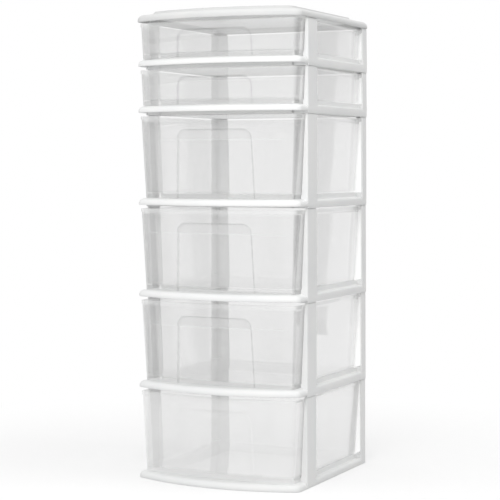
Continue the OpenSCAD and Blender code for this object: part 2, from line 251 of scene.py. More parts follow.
def pick(test):
    """Selects the vertices whose place in millimetres passes a test"""
    bpy.ops.mesh.select_mode(type="VERT")
    bpy.ops.mesh.select_all(action="DESELECT")
    mesh = bmesh.from_edit_mesh(bpy.context.object.data)
    for v in mesh.verts:
        if test(v.co.x / MM, v.co.y / MM, v.co.z / MM):
            v.select_set(True)
    mesh.select_flush_mode()
    bmesh.update_edit_mesh(bpy.context.object.data)


def shift(x, y, z):
    """Moves what is selected"""
    bpy.ops.transform.translate(value=vec(x, y, z))


def close_up():
    """Merges doubles within 0.002 mm, fills the ends and turns the faces outwards"""
    bpy.ops.mesh.select_all(action="SELECT")
    bpy.ops.mesh.remove_doubles(threshold=0.000002)
    bpy.ops.mesh.select_all(action="SELECT")
    bpy.ops.mesh.fill_holes(sides=0)
    bpy.ops.mesh.select_all(action="SELECT")
    bpy.ops.mesh.normals_make_consistent(inside=False)
    bpy.ops.object.mode_set(mode="OBJECT")
    return bpy.context.object


def bar(name, points, x, y, z):
    """Solid drawn as an outline and pulled out along a vector"""
    draw(name, points)
    pull(x, y, z)
    return close_up()


def block(name, low, high, soft=0.4):
    """Block between two corners with softened edges"""
    put_down()
    middle = [(a + b) / 2 for a, b in zip(low, high)]
    sides = [(b - a) * MM for a, b in zip(low, high)]
    bpy.ops.mesh.primitive_cube_add(size=1, location=vec(*middle), scale=sides)
    obj = bpy.context.object
    obj.name = obj.data.name = name
    bpy.ops.object.transform_apply(location=True, rotation=True, scale=True)
    if soft:
        bpy.ops.object.mode_set(mode="EDIT")
        bpy.ops.mesh.select_all(action="SELECT")
        bpy.ops.mesh.bevel(offset=soft * MM, segments=2, affect="EDGES")
        bpy.ops.object.mode_set(mode="OBJECT")
    return obj


def rounded(corners, steps=3):
    """Corner points (a, b, radius) of an outline with an arc in place of each corner"""
    out = []
    count = len(corners)
    for i, (a, b, r) in enumerate(corners):
        here = Vector((a, b))
        if r <= 0:
            out.append((a, b))
            continue
        before = Vector(corners[i - 1][:2]) - here
        after = Vector(corners[(i + 1) % count][:2]) - here
        half = before.angle(after) / 2
        reach = min(r / math.tan(half), before.length * 0.49, after.length * 0.49)
        start = here + before.normalized() * reach
        end = here + after.normalized() * reach
        radius = reach * math.tan(half)
        centre = here + (before.normalized() + after.normalized()).normalized() * (radius / math.sin(half))
        first = start - centre
        sweep = first.angle_signed(end - centre)
        for k in range(steps + 1):
            t = -sweep * k / steps
            out.append((centre.x + first.x * math.cos(t) - first.y * math.sin(t),
                        centre.y + first.x * math.sin(t) + first.y * math.cos(t)))
    return out


def weld(name, pieces):
    """Joins pieces into one object, smooth where faces meet gently"""
    take(pieces[0])
    for piece in pieces:
        piece.select_set(True)
    bpy.ops.object.join()
    obj = bpy.context.object
    obj.name = obj.data.name = name
    smooth(obj)
    return obj


def smooth(obj, angle=35):
    """Smooth where faces meet by less than the angle in degrees"""
    take(obj)
    bpy.ops.object.shade_smooth_by_angle(angle=math.radians(angle))


def cut(obj, tool, operation):
    """Boolean of two objects; the tool is used up"""
    take(obj)
    bpy.ops.object.modifier_add(type="BOOLEAN")
    change = obj.modifiers[-1]
    change.operation = operation
    change.solver = "EXACT"
    change.object = tool
    bpy.ops.object.modifier_apply(modifier=change.name)
    bpy.data.objects.remove(tool)
    return obj


def mirrored(piece):
    """The left twin of a right-hand piece"""
    take(piece)
    bpy.ops.object.duplicate()
    twin = bpy.context.object
    bpy.ops.transform.mirror(constraint_axis=(True, False, False), center_override=(0, 0, 0))
    bpy.ops.object.transform_apply(location=True, rotation=True, scale=True)
    bpy.ops.object.mode_set(mode="EDIT")
    bpy.ops.mesh.select_all(action="SELECT")
    bpy.ops.mesh.normals_make_consistent(inside=False)
    bpy.ops.object.mode_set(mode="OBJECT")
    return twin


def stand(piece, name, z):
    """A copy of a piece with its own mesh, lifted to its tier"""
    take(piece)
    bpy.ops.object.duplicate()
    copy = bpy.context.object
    copy.name = copy.data.name = name
    bpy.ops.transform.translate(value=vec(0, 0, z))
    bpy.ops.object.transform_apply(location=True, rotation=False, scale=False)
    return copy


def assign(obj, material, test):
    """Gives another finish to the faces whose middle in millimetres passes a test"""
    take(obj)
    if material.name not in obj.data.materials:
        obj.data.materials.append(material)
    obj.active_material_index = obj.data.materials.find(material.name)
    bpy.ops.object.mode_set(mode="EDIT")
    bpy.ops.mesh.select_mode(type="FACE")
    bpy.ops.mesh.select_all(action="DESELECT")
    mesh = bmesh.from_edit_mesh(obj.data)
    for face in mesh.faces:
        x, y, z = face.calc_center_median() / MM
        if test(x, y, z):
            face.select_set(True)
    bmesh.update_edit_mesh(obj.data)
    bpy.ops.object.material_slot_assign()
    bpy.ops.object.mode_set(mode="OBJECT")


def finish_with(obj, material):
    """Gives the whole of a piece one finish"""
    obj.data.materials.clear()
    obj.data.materials.append(material)


# ---------------------------------------------------------------- plan of the bowed lip

def end_y(w, front, bow, r):
    """Where along Y the centre of a round end lies"""
    return front + bow - math.sqrt((bow - r) ** 2 - (w - r) ** 2)


def end_angle(w, bow, r):
    """Half the angle of the bow between its round ends"""
    return math.asin((w - r) / (bow - r))


def arc(x, y, r, first, last, steps):
    """Points round a centre between two angles, counted from -Y towards +X"""
    angles = [first + (last - first) * k / steps for k in range(steps + 1)]
    return [(x + r * math.sin(a), y - r * math.cos(a)) for a in angles]


def plan(w, front, bow, back, end_r, corner_r, end_steps=8):
    """Outline seen from above: bowed front, round ends and round or square back corners"""
    half, quarter = end_angle(w, bow, end_r), math.pi / 2
    corner_y = end_y(w, front, bow, end_r)
    points = arc(0, front + bow, bow, -half, half, DECK_BOW_STEPS)
    points += arc(w - end_r, corner_y, end_r, half, quarter, end_steps)[1:]
    if corner_r > 0:
        points += arc(w - corner_r, back - corner_r, corner_r, quarter, 2 * quarter, CORNER_STEPS)
        points += arc(corner_r - w, back - corner_r, corner_r, 2 * quarter, 3 * quarter, CORNER_STEPS)
    else:
        points += [(w, back), (-w, back)]
    return points + arc(end_r - w, corner_y, end_r, -quarter, -half, end_steps)[:-1]


def nose_section(low, top):
    """Section of the lip's nose as distance behind its edge and height"""
    wide = low + NOSE_LOW
    angles = [math.pi / 2 * k / 10 for k in range(11)]
    outer = [(NOSE_D - NOSE_D * math.sin(a), wide + (top - wide) * math.cos(a)) for a in angles]
    inner = [(NOSE_D - (NOSE_D - WALL) * math.sin(a), wide + (top - wide - WALL) * math.cos(a))
             for a in reversed(angles)]
    foot = [(0, low + 1.2), (0.35, low + 0.35), (1.2, low), (WALL - 0.8, low), (WALL, low + 0.8)]
    tail = NOSE_D + NOSE_FLAT
    return [(tail, top)] + outer + foot + inner + [(tail, top - WALL)]


def nose(name, low, top, w, front, bow, end_r, back, closed_r=None):
    """The nose swept from the left side round the bow to the right side, and with closed_r round the back"""
    half = end_angle(w, bow, end_r)
    corner_y = end_y(w, front, bow, end_r)
    draw(name, [(-w + d, back, z) for d, z in nose_section(low, top)])
    line_only()
    pull(0, corner_y - back, 0)
    turn(NOSE_ROUND_FACES, math.pi / 2 - half, end_r - w, corner_y)
    turn(NOSE_BOW_FACES, 2 * half, 0, front + bow)
    turn(NOSE_ROUND_FACES, math.pi / 2 - half, w - end_r, corner_y)
    pull(0, back - corner_y, 0)
    if closed_r:
        turn(NOSE_ROUND_FACES, math.pi / 2, w - closed_r, back)
        pull(-2 * (w - closed_r), 0, 0)
        turn(NOSE_ROUND_FACES, math.pi / 2, closed_r - w, back)
        bpy.ops.mesh.select_all(action="SELECT")
    return close_up()


# ---------------------------------------------------------------- shelf frame

def wall_x(pitch, z):
    """Outer face of a drawer's side wall at a height"""
    return WALL_TOP - (pitch - TOP_GAP - z) * DRAFT


def face_x(pitch, z):
    """Inner edge of the posts at a height, clear of the drawer's rim"""
    return wall_x(pitch, z) + RIM_OUT + RIM_ROOM


def back_prism(name, inset, low, high):
    """Block with the frame's round back corners, which trims what runs into them"""
    w, front, back, r = HALF_W - inset, POST_Y - TRIM, BACK_Y - inset, BACK_R - inset
    outline = rounded([(-w, front, 0), (w, front, 0), (w, back, r), (-w, back, r)], 12)
    return bar(name, [(x, y, low) for x, y in outline], 0, 0, high - low)


def rail(pitch, foot):
    """Right side rail: face with its round shoulder, guide rib and runner, open underneath"""
    guide = face_x(pitch, RAIL_Z) - RIM_OUT
    roof = RAIL_Z - WALL
    outline = rounded([
        (HALF_W, foot, 0.6), (HALF_W, RAIL_Z, SHOULDER_R), (guide + GUIDE_T, RAIL_Z, 0.5),
        (guide + GUIDE_T, RAIL_Z + GUIDE_H, 0.5), (guide, RAIL_Z + GUIDE_H, 0.5), (guide, RAIL_Z, 0.7),
        (RAIL_IN + RUNNER_W, RAIL_Z, 2.2), (RAIL_IN + RUNNER_W, RUNNER_Z, 0.9), (RAIL_IN, RUNNER_Z, 0.9),
        (RAIL_IN, foot, 0.5), (RAIL_IN + WALL, foot, 0.5), (RAIL_IN + WALL, roof, 0.8),
        (HALF_W - WALL, roof, 0.8), (HALF_W - WALL, foot, 0.6)], 5)
    obj = bar("rail", [(x, POST_Y + TUCK, z) for x, z in outline], 0, BACK_Y - POST_Y, 0)
    return cut(obj, back_prism("prism", TUCK, foot - TRIM, RUNNER_Z + TRIM), "INTERSECT")


def back_bar(foot):
    """Bar across the back, with its upright edge"""
    low, roof, front = foot + TUCK, RAIL_Z - WALL, BACK_Y - BACK_BAR_D
    outline = rounded([
        (BACK_Y, low, 0.6), (BACK_Y, BACK_EDGE_Z, 0.8), (BACK_Y - WALL, BACK_EDGE_Z, 0.8),
        (BACK_Y - WALL, RAIL_Z - TUCK, 1.2), (front, RAIL_Z - TUCK, 0.6), (front, low, 0.5),
        (front + WALL, low, 0.5), (front + WALL, roof, 0.8), (BACK_Y - WALL, roof, 0.8),
        (BACK_Y - WALL, low, 0.6)], 4)
    reach = HALF_W + 2
    obj = bar("bar", [(-reach, y, z) for y, z in outline], 2 * reach, 0, 0)
    return cut(obj, back_prism("prism", 0, foot - TRIM, BACK_EDGE_Z + TRIM), "INTERSECT")


def front_post(pitch, foot):
    """Right front post: an upright channel, open towards the drawer, that leans in a little"""
    edge, out = face_x(pitch, foot), HALF_W - 2 * TUCK
    outline = rounded([
        (edge, POST_Y, 0.6), (out, POST_Y, POST_R), (out, FRONT_POST_BACK, 0.9), (edge, FRONT_POST_BACK, 0.6),
        (edge, FRONT_POST_BACK - WALL, 0.6), (HALF_W - WALL, FRONT_POST_BACK - WALL, 1.2),
        (HALF_W - WALL, POST_Y + WALL, 1.2), (edge, POST_Y + WALL, 0.6)], 5)
    draw("front_post", [(x, y, foot + TUCK) for x, y in outline])
    return raise_post(pitch, POST_SPLIT, DRAFT)


def raise_post(pitch, split, slope):
    """Pulls a post's section up to its head: what is inside of the split slopes out, and the rest leans in"""
    for z, lean in ((RAIL_Z, 0), (pitch - SEAM_GAP, POST_DRAFT)):
        top = max(v.co.z for v in bmesh.from_edit_mesh(bpy.context.object.data).verts) / MM
        pull(0, 0, z - top)
        pick(lambda x, y, h: h > z - NEAR and x < split)
        shift((z - top) * slope, 0, 0)
        pick(lambda x, y, h: h > z - NEAR and x > split)
        shift(-lean, 0, 0)
        pick(lambda x, y, h: h > z - NEAR)
    return seam_groove()


def seam_groove():
    """Steps the selected top of a post in and up, which leaves the groove that shows at the seam"""
    bpy.ops.mesh.normals_make_consistent(inside=False)
    bpy.ops.mesh.select_mode(type="FACE")
    bpy.ops.mesh.inset(thickness=SEAM_IN * MM, use_even_offset=True)
    pull(0, 0, SEAM_GAP)
    return close_up()


def back_post(pitch, foot):
    """Right back post: side and inner leg round the corner"""
    out, back, inner = HALF_W - 3 * TUCK, BACK_Y - 3 * TUCK, HALF_W - WALL - TUCK
    outline = rounded([
        (LEG_IN, back, 0.9), (out, back, BACK_R), (out, BACK_POST_FRONT, 0.9),
        (inner, BACK_POST_FRONT, 0.9), (inner, BACK_Y - WALL - TUCK, BACK_R - WALL),
        (LEG_IN, BACK_Y - WALL - TUCK, 0.9)], 8)
    draw("back_post", [(x, y, foot + 2 * TUCK) for x, y in outline])
    return raise_post(pitch, LEG_SPLIT, LEG_DRAFT / (pitch - foot))


def post_heads(pitch):
    """End plates of the right posts, with the plugs that enter the shelf above"""
    inner, outer = face_x(pitch, pitch), HALF_W - POST_DRAFT - WALL / 2
    pieces = []
    for start, end, plug in ((POST_Y + 1, FRONT_POST_BACK - 1, FRONT_PLUG),
                             (BACK_POST_FRONT + 0.5, BACK_Y - 6, BACK_PLUG)):
        pieces.append(block("plate", (inner + 0.3, start, pitch - WALL), (outer, end, pitch - TUCK)))
        pieces.append(block("plug", (PLUG_IN, plug[0], pitch - 1), (PLUG_OUT, plug[1], pitch + PLUG_H), 0.6))
    return pieces


def back_step(pitch):
    """Step that closes the right rail against its back post"""
    guide = face_x(pitch, RAIL_Z) - RIM_OUT
    return block("back_step", (guide + TUCK, BACK_POST_FRONT + 1.5, RAIL_Z - 1),
                 (HALF_W - WALL + 1, BACK_Y - WALL + 1, RAIL_Z + GUIDE_H + 1), 1.2)


def window_fillets():
    """Fillets between the right rail and its posts, seen from the side"""
    pieces = []
    z = RAIL_Z - WALL
    angles = [math.pi / 2 * k / 8 for k in range(9)]
    for y, way in ((FRONT_POST_BACK, 1), (BACK_POST_FRONT, -1)):
        outline = [(y - way, z - 1), (y - way, z + WINDOW_R)]
        outline += [(y + way * WINDOW_R * (1 - math.cos(a)), z + WINDOW_R * (1 - math.sin(a))) for a in angles]
        outline += [(y + way * WINDOW_R, z - 1)]
        pieces.append(bar("fillet", [(HALF_W - WALL + TUCK, a, b) for a, b in outline], WALL / 2, 0, 0))
    return pieces


def sockets(w):
    """Right-hand sockets under a shelf or the lid for the plugs of the posts below"""
    pieces = []
    for plug in (FRONT_PLUG, BACK_PLUG):
        low = (PLUG_IN - SOCKET_ROOM, plug[0] - SOCKET_ROOM, 2 * TUCK)
        high = (w - WALL + 0.5, plug[1] + SOCKET_ROOM, PLUG_H + SOCKET_ROOM)
        obj = block("socket", low, high, 0)
        bpy.ops.object.mode_set(mode="EDIT")
        pick(lambda x, y, z: z < 1)
        bpy.ops.mesh.select_mode(type="FACE")
        bpy.ops.mesh.inset(thickness=SOCKET_WALL * MM, use_even_offset=True)
        pull(0, 0, PLUG_H + 0.3)
        bpy.ops.object.mode_set(mode="OBJECT")
        pieces.append(obj)
    return pieces


def shelf_frame(name, pitch, foot, with_sockets):
    """One moulding: shelf ring with its bowed lip, and four posts"""
    roof = RAIL_Z - WALL
    right = [rail(pitch, foot), front_post(pitch, foot), back_post(pitch, foot)]
    right += post_heads(pitch) + window_fillets() + [back_step(pitch)]
    if with_sockets:
        right += sockets(HALF_W)
    pieces = right + [mirrored(piece) for piece in right]
    pieces.append(back_bar(foot))
    pieces.append(nose("lip", COLLAR_H, RAIL_Z, HALF_W, FRONT_Y, LIP_R, LIP_END_R, POST_Y + 0.1))
    deck = plan(HALF_W - NOSE_IN, FRONT_Y + NOSE_IN, LIP_R - NOSE_IN, DECK_BACK, LIP_END_R - NOSE_IN, 0, 2)
    pieces.append(bar("deck", [(x, y, roof + TUCK) for x, y in deck], 0, 0, WALL - 2 * TUCK))
    pieces.append(block("front_web", (TUCK + WEB_IN - HALF_W, POST_Y + TUCK, foot + 3 * TUCK),
                        (HALF_W - WEB_IN - TUCK, POST_Y + WALL, roof + 1)))
    pieces.append(block("deck_web", (-RAIL_IN - 1, DECK_BACK - WALL + TUCK, foot + 3 * TUCK),
                        (RAIL_IN + 1, DECK_BACK - TUCK, roof + 1)))
    obj = weld(name, pieces)
    obj.data.materials.append(white)
    # Painted glow on the inner face of the right leg and on the undersides, in place of light from behind and
    # through the deck
    assign(obj, white_leg_glow, lambda x, y, z: abs(y - BACK_Y + WALL + TUCK) < 2 * NEAR
           and LEG_IN < x < HALF_W - WALL and z > RAIL_Z + GUIDE_H)
    # Painted glow on the undersides of the shelf
    assign(obj, white_under_glow, lambda x, y, z: abs(z - roof) < NEAR)
    return obj


# ---------------------------------------------------------------- drawer

def spread(low, high, step):
    """Even places from low up to high, about a step apart and without the last"""
    count = max(1, round((high - low) / step))
    return [low + (high - low) * k / count for k in range(count)]


def smoothstep(low, high, value):
    """0 to 1 with soft ends as a value goes from low to high"""
    t = min(1.0, max(0.0, (value - low) / (high - low)))
    return t * t * (3 - 2 * t)


def drawer_outline(pitch, z, inset):
    """Outline of a drawer with close columns on its front, where the grip arch is pressed in"""
    lean = (pitch - TOP_GAP - z) * DRAFT + inset
    w, front, back = WALL_TOP - lean, DRAWER_FRONT + lean, DRAWER_BACK - lean
    bow = FRONT_CURVE_R - lean
    corner_y, half = end_y(w, front, bow, FRONT_R), end_angle(w, bow, FRONT_R)
    reach, quarter = bow * math.sin(half), math.pi / 2
    near, far = ARCH_SIDE
    across = spread(-reach, -far, 3) + spread(-far, -near, 1.3) + spread(-near, near, 3)
    across += spread(near, far, 1.3) + spread(far, reach, 3)
    side = spread(corner_y, back - REAR_R, 40)
    points = [(x, front + bow - math.sqrt(bow * bow - x * x)) for x in across]
    points += arc(w - FRONT_R, corner_y, FRONT_R, half, quarter, CORNER_STEPS)
    points += [(w, y) for y in side[1:]]
    points += arc(w - REAR_R, back - REAR_R, REAR_R, quarter, 2 * quarter, CORNER_STEPS)
    points += [(-x, back) for x in spread(REAR_R - w, w - REAR_R, 40)[1:]]
    points += arc(REAR_R - w, back - REAR_R, REAR_R, 2 * quarter, 3 * quarter, CORNER_STEPS)
    points += [(-w, y) for y in side[:0:-1]]
    return points + arc(FRONT_R - w, corner_y, FRONT_R, -quarter, -half, CORNER_STEPS)[:-1]


def drawer_shell(name, pitch, band_h, arch_drop, finish):
    """Clear drawer: drafted walls, rim, raised floor and the skirt under it"""
    top = pitch - TOP_GAP
    band_z, arch_z, rim = top - band_h, top - arch_drop, top - RIM_H
    # Heights of the rows of faces, close together where the front is pressed
    rows = spread(DRAWER_LOW + 1, band_z - 14, 5) + spread(band_z - 14, band_z - 3, 2.5)
    rows += spread(band_z - 3, band_z + 3, 0.75) + spread(band_z + 3, arch_z - 3, 1.5)
    rows += spread(arch_z - 3, arch_z + 3, 0.75) + spread(arch_z + 3, rim - 0.6, 3)
    # Height and inset of the wall: down inside the skirt, up outside, over the rim and down to the floor
    profile = [(FLOOR_LOW, DRAWER_WALL), (DRAWER_LOW + 0.4, DRAWER_WALL), (DRAWER_LOW, DRAWER_WALL - 0.5),
               (DRAWER_LOW, 0.5), (DRAWER_LOW + 0.4, 0)]
    profile += [(z, 0) for z in rows]
    profile += [(rim - 0.6, 0), (rim - 0.1, -0.3), (rim, -RIM_OUT + 0.3), (rim + 0.3, -RIM_OUT),
                (top - 0.8, -RIM_OUT), (top - 0.2, -RIM_OUT + 0.3), (top, -RIM_OUT + 0.9),
                (top, DRAWER_WALL - 0.7), (top - 0.2, DRAWER_WALL - 0.2), (top - 0.8, DRAWER_WALL)]
    profile += [(z, DRAWER_WALL) for z in reversed(rows) if z > FLOOR_TOP + 3]
    profile += [(FLOOR_TOP + 2.5, DRAWER_WALL), (FLOOR_TOP + 1.0, DRAWER_WALL + 0.4),
                (FLOOR_TOP + 0.3, DRAWER_WALL + 1.2), (FLOOR_TOP, DRAWER_WALL + 2.5)]
    middle = (DRAWER_FRONT + DRAWER_BACK) / 2
    deep = (DRAWER_BACK - DRAWER_FRONT) / 2

    def size(z, inset):
        """Half the width and half the depth of the wall"""
        lean = (top - z) * DRAFT + inset
        return WALL_TOP - lean, deep - lean

    z, inset = profile[0]
    obj = draw(name, [(x, y, z) for x, y in drawer_outline(pitch, z, inset)])
    line_only()
    w, d = size(z, inset)
    for z_next, inset_next in profile[1:]:
        w_next, d_next = size(z_next, inset_next)
        bpy.ops.mesh.extrude_edges_move(TRANSFORM_OT_translate={"value": vec(0, 0, z_next - z)})
        bpy.ops.transform.resize(value=(w_next / w, d_next / d, 1), center_override=vec(0, middle, z_next))
        z, w, d = z_next, w_next, d_next
    close_up()
    press(obj, "band", BAND_STEP, lambda x, z: smoothstep(band_z + 0.9, band_z - 0.9, z)
          * smoothstep(BAND_END + 2, BAND_END - 4, abs(x)))
    press(obj, "arch", ARCH_D, lambda x, z: smoothstep(-ARCH_SOFT, ARCH_SOFT, arch_depth(x, z, arch_z)))
    # The skirt leaves room at the back for the upright edge of the back bar
    back = DRAWER_BACK - (top - DRAWER_LOW) * DRAFT - REAR_R
    gap = block("gap", (-HALF_W, back, DRAWER_LOW - TRIM), (HALF_W, back + 60, FLOOR_LOW - 0.02), 0)
    cut(obj, gap, "DIFFERENCE")
    smooth(obj, 32)
    obj.data.materials.append(finish)
    # Painted shade: grey bands down the front corners, on both sides of a large drawer and on the left of a
    # small one
    if pitch == LARGE_PITCH:
        assign(obj, clear_corner_shade, lambda x, y, z: y < CORNER_FACES and x > wall_x(pitch, z) - CORNER_IN)
    assign(obj, clear_left_shade, lambda x, y, z: y < CORNER_FACES and x < CORNER_IN - wall_x(pitch, z))
    # Painted highlight along the crease of the band
    assign(obj, clear_edge_highlight, lambda x, y, z: y < FRONT_FACES and abs(z - band_z) < 1.0 and abs(x) < BAND_END)
    # Painted shade: a grey line round the grip arch
    assign(obj, clear_arch_shade, lambda x, y, z: y < FRONT_FACES and z < rim
           and abs(arch_depth(x, z, arch_z)) < ARCH_SHADE_LINE)
    # Painted shade inside the head of the grip arch
    assign(obj, clear_grip_shade, lambda x, y, z: y < FRONT_FACES and band_z + 1 < z < arch_z
           and arch_depth(x, z, arch_z) > ARCH_SHADE_LINE)
    # Painted light: a clearer right rear corner, so that the leg behind shows bright
    assign(obj, clear_rear_lightened, lambda x, y, z: y > REAR_FACES and x > wall_x(pitch, z) - REAR_IN)
    # Painted highlight along the rim
    assign(obj, clear_edge_highlight, lambda x, y, z: z > rim - 0.2)
    return obj


def arch_depth(x, z, arch_z):
    """How far a place on the front is inside the outline of the grip arch"""
    half = ARCH_W / 2 + ARCH_SLOPE * (arch_z - z)
    dx, dz = half - abs(x), arch_z - z
    if dx < ARCH_R and dz < ARCH_R:
        return ARCH_R - math.hypot(ARCH_R - dx, ARCH_R - dz)
    return min(dx, dz)


def press(obj, name, depth, weight):
    """Presses part of a drawer's front inwards"""
    take(obj)
    group = obj.vertex_groups.new(name=name)
    for v in obj.data.vertices:
        x, y, z = v.co / MM
        amount = weight(x, z) if y < FRONT_FACES else 0
        if amount > 0:
            group.add([v.index], amount, "REPLACE")
    bpy.ops.object.modifier_add(type="DISPLACE")
    change = obj.modifiers[-1]
    change.direction = "Y"
    change.mid_level = 0
    change.strength = depth * MM
    change.vertex_group = name
    bpy.ops.object.modifier_apply(modifier=change.name)
    obj.vertex_groups.clear()


# ---------------------------------------------------------------- lid

def lid():
    """Lid: a rim with the lip's nose all round, and a raised deck"""
    rim = nose("lid_rim", 0, LID_RIM, LID_W, LID_FRONT, LID_BOW, LID_END_R, LID_BACK - LID_BACK_R, LID_BACK_R)
    foot = plan(LID_W - LID_STEP_IN, LID_FRONT + LID_STEP_IN, LID_BOW - LID_STEP_IN, LID_BACK - LID_STEP_IN,
                LID_STEP_R, LID_STEP_R)
    ring = plan(LID_W - NOSE_IN, LID_FRONT + NOSE_IN, LID_BOW - NOSE_IN, LID_BACK - NOSE_IN,
                LID_END_R - NOSE_IN, LID_BACK_R - NOSE_IN)
    deck = draw("lid_deck", [(x, y, LID_RIM - WALL + TUCK) for x, y in ring])
    pull(0, 0, WALL - 2 * TUCK)
    close_up()
    draw("lid_top", [(x, y, LID_RIM - 2) for x, y in foot])
    pull(0, 0, 2)
    bpy.ops.mesh.select_all(action="SELECT")
    bpy.ops.mesh.normals_make_consistent(inside=False)
    pick(lambda x, y, z: z > LID_RIM - NEAR)
    bpy.ops.mesh.select_mode(type="FACE")
    for step, rise in LID_STEPS:
        bpy.ops.mesh.inset(thickness=step * MM, depth=rise * MM, use_even_offset=True)
    top = close_up()
    right = sockets(LID_W)
    obj = weld("lid_shell", [rim, deck, top] + right + [mirrored(piece) for piece in right])
    # Painted shade: the lid is a greyer white all over than the frames
    finish_with(obj, lid_shaded_white)
    # Painted glow on the lid's underside
    assign(obj, lid_under_glow, lambda x, y, z: abs(z - LID_RIM + WALL) < NEAR)
    # Painted shade on the flat of the deck, which faces the top lamp
    assign(obj, lid_deck, lambda x, y, z: z > LID_RIM - 0.5)
    return obj


# ---------------------------------------------------------------- materials

def srgb(code):
    """A hex colour as the linear values that a shader takes"""
    parts = [int(code[k:k + 2], 16) / 255 for k in (1, 3, 5)]
    return tuple(c / 12.92 if c <= 0.04045 else ((c + 0.055) / 1.055) ** 2.4 for c in parts) + (1.0,)


def add(tree, kind, inputs=None, **settings):
    """Adds a node with its settings, and its inputs as values or links"""
    node = tree.nodes.new(kind)
    for key, value in settings.items():
        setattr(node, key, value)
    for key, value in (inputs or {}).items():
        if isinstance(value, bpy.types.NodeSocket):
            tree.links.new(value, node.inputs[key])
        else:
            node.inputs[key].default_value = value
    return node


def new_tree(name):
    """A new material with an empty node tree"""
    material = bpy.data.materials.new(name)
    material.use_nodes = True
    material.node_tree.nodes.clear()
    return material, material.node_tree


def over_noise(tree, noise, low, high):
    """Spreads a noise, which mostly keeps within 0.3 to 0.7, from low to high"""
    return add(tree, "ShaderNodeMapRange", {"Value": noise.outputs["Fac"], "From Min": 0.3, "From Max": 0.7,
                                            "To Min": low, "To Max": high}).outputs["Result"]


def seen_straight(tree):
    """1 for what the camera sees, also in a mirror or through a clear wall, and 0 for light on its way"""
    light = add(tree, "ShaderNodeLightPath")
    seen = add(tree, "ShaderNodeMath", {0: light.outputs["Is Camera Ray"], 1: light.outputs["Is Glossy Ray"]},
               operation="MAXIMUM")
    return add(tree, "ShaderNodeMath", {0: seen.outputs["Value"], 1: light.outputs["Is Transmission Ray"]},
               operation="MAXIMUM").outputs["Value"]


def white_polypropylene(name, dull, bright, glow=0.0):
    """Injection-moulded white polypropylene: soft sheen, faint clouding and a fine moulded grain.
    dull and bright are the ends of the clouding, and glow is painted light: an emission in place of the light
    that a thin sheet lets through."""
    material, tree = new_tree(name)
    place = add(tree, "ShaderNodeTexCoord").outputs["Object"]
    # Clouding about 70 mm across
    cloud = add(tree, "ShaderNodeTexNoise", {"Vector": place, "Scale": 14.0, "Detail": 3.0})
    tint = add(tree, "ShaderNodeValToRGB", {"Fac": cloud.outputs["Fac"]})
    tint.color_ramp.elements[0].position, tint.color_ramp.elements[1].position = 0.3, 0.7
    tint.color_ramp.elements[0].color, tint.color_ramp.elements[1].color = srgb(dull), srgb(bright)
    sheen = over_noise(tree, cloud, 0.36, 0.46)
    # Moulded grain is finer than a pixel, so it is drawn 2.5 mm across to show
    grain = add(tree, "ShaderNodeTexNoise", {"Vector": place, "Scale": 400.0, "Detail": 2.0})
    bump = add(tree, "ShaderNodeBump", {"Height": grain.outputs["Fac"], "Strength": 0.06, "Distance": 0.0003})
    # glow paints light onto the surface as an emission
    shader = add(tree, "ShaderNodeBsdfPrincipled", {
        "Base Color": tint.outputs["Color"], "Roughness": sheen, "IOR": 1.49,
        "Emission Color": (1, 1, 1, 1), "Emission Strength": glow, "Normal": bump.outputs["Normal"]})
    add(tree, "ShaderNodeOutputMaterial", {"Surface": shader.outputs["BSDF"]})
    return material


def clear_polypropylene(name, thin, thick, shade="#F2F2F2", tint="#FAFAFA", glint=0.75):
    """Injection-moulded clear polypropylene: a milky see-through wall that mirrors at a glancing angle.
    thin and thick are the least and most of the light that one face of the wall scatters, shade is the
    colour that it scatters, tint is the colour of what it lets through and glint is the most it mirrors."""
    material, tree = new_tree(name)
    place = add(tree, "ShaderNodeTexCoord").outputs["Object"]
    # Flow marks about 60 mm across, drawn out upwards
    along = add(tree, "ShaderNodeMapping", {"Vector": place, "Scale": (1.0, 1.0, 0.45)})
    flow = add(tree, "ShaderNodeTexNoise", {"Vector": along.outputs["Vector"], "Scale": 17.0, "Detail": 2.0})
    milk = over_noise(tree, flow, thin, thick)
    rough = over_noise(tree, flow, 0.025, 0.06)
    bump = add(tree, "ShaderNodeBump", {"Height": flow.outputs["Fac"], "Strength": 0.08, "Distance": 0.001})
    through = add(tree, "ShaderNodeBsdfTransparent", {"Color": srgb(tint)})
    body = add(tree, "ShaderNodeBsdfPrincipled", {
        "Base Color": srgb(shade), "Roughness": rough, "IOR": 1.49, "Normal": bump.outputs["Normal"]})
    wall = add(tree, "ShaderNodeMixShader", {0: milk, 1: through.outputs["BSDF"], 2: body.outputs["BSDF"]})
    # What a polished face throws back, from 3.5% head on to glint edge on
    facing = add(tree, "ShaderNodeLayerWeight", {"Blend": 0.5, "Normal": bump.outputs["Normal"]})
    glance = add(tree, "ShaderNodeMath", {0: facing.outputs["Facing"], 1: 2.6}, operation="POWER")
    mirror = add(tree, "ShaderNodeMapRange", {"Value": glance.outputs["Value"],
                                              "To Min": 0.035, "To Max": glint})
    gloss = add(tree, "ShaderNodeBsdfAnisotropic", {
        "Color": srgb("#FFFFFF"), "Roughness": rough, "Normal": bump.outputs["Normal"]})
    seen = add(tree, "ShaderNodeMixShader", {0: mirror.outputs["Result"], 1: wall.outputs["Shader"],
                                             2: gloss.outputs["BSDF"]})
    # Lamps and bounced light pass a clear wall whatever its angle
    light = add(tree, "ShaderNodeLightPath")
    passing = add(tree, "ShaderNodeMath", {0: light.outputs["Is Shadow Ray"],
                                           1: light.outputs["Is Diffuse Ray"]}, operation="MAXIMUM")
    dim = add(tree, "ShaderNodeBsdfTransparent", {"Color": srgb("#FDFDFD")})
    mix = add(tree, "ShaderNodeMixShader", {0: passing.outputs["Value"], 1: seen.outputs["Shader"],
                                            2: dim.outputs["BSDF"]})
    add(tree, "ShaderNodeOutputMaterial", {"Surface": mix.outputs["Shader"]})
    return material


# ---------------------------------------------------------------- stage, in metres

